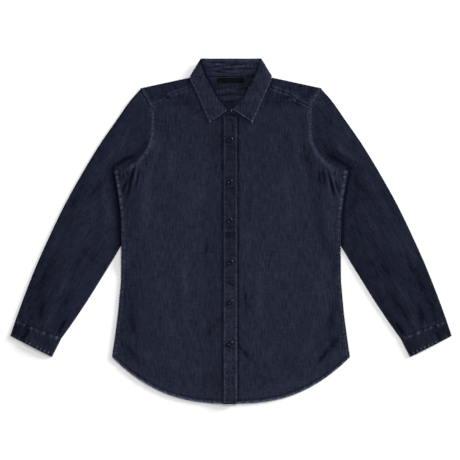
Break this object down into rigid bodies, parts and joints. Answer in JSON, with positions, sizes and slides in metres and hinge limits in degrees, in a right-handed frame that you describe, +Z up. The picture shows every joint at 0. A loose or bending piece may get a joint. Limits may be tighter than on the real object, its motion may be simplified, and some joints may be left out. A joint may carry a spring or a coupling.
{
  "type": "denim shirt laid flat",
  "caption": "Long-sleeved denim shirt laid flat face up, buttoned to the neck, with a pointed collar, front placket, yoke, cuffs and a curved hem",
  "frame": {"origin": "under the middle of the laid shirt, on the surface it lies on", "axes": "+Z up from the surface, +Y towards the collar, +X towards the wearer's left sleeve"},
  "size_m": [0.9502, 0.7406, 0.0172],
  "materials": {
    "denim_body": "dark indigo denim, slubbed, matt",
    "denim_sleeve": "dark indigo denim, slubbed, matt, a little darker",
    "denim_collar": "dark indigo denim with worn, lighter edges",
    "denim_band": "dark indigo denim, double, topstitched",
    "label_cloth": "black woven tape, bare",
    "button_shell": "dark polished plastic"
  },
  "bodies": {
    "root": {"back": "denim_body", "front_right": "denim_body", "front_left": "denim_body", "yoke": "denim_body", "sleeve_right": "denim_sleeve", "sleeve_left": "denim_sleeve", "cuff_right": "denim_band", "cuff_left": "denim_band", "placket": "denim_band", "button_band": "denim_band", "collar": "denim_collar", "collar_stand": "denim_collar", "neck_label": "label_cloth", "button_1": "button_shell", "button_2": "button_shell", "button_3": "button_shell", "button_4": "button_shell", "button_5": "button_shell", "button_6": "button_shell", "stand_button": "button_shell"}
  },
  "joints": []
}
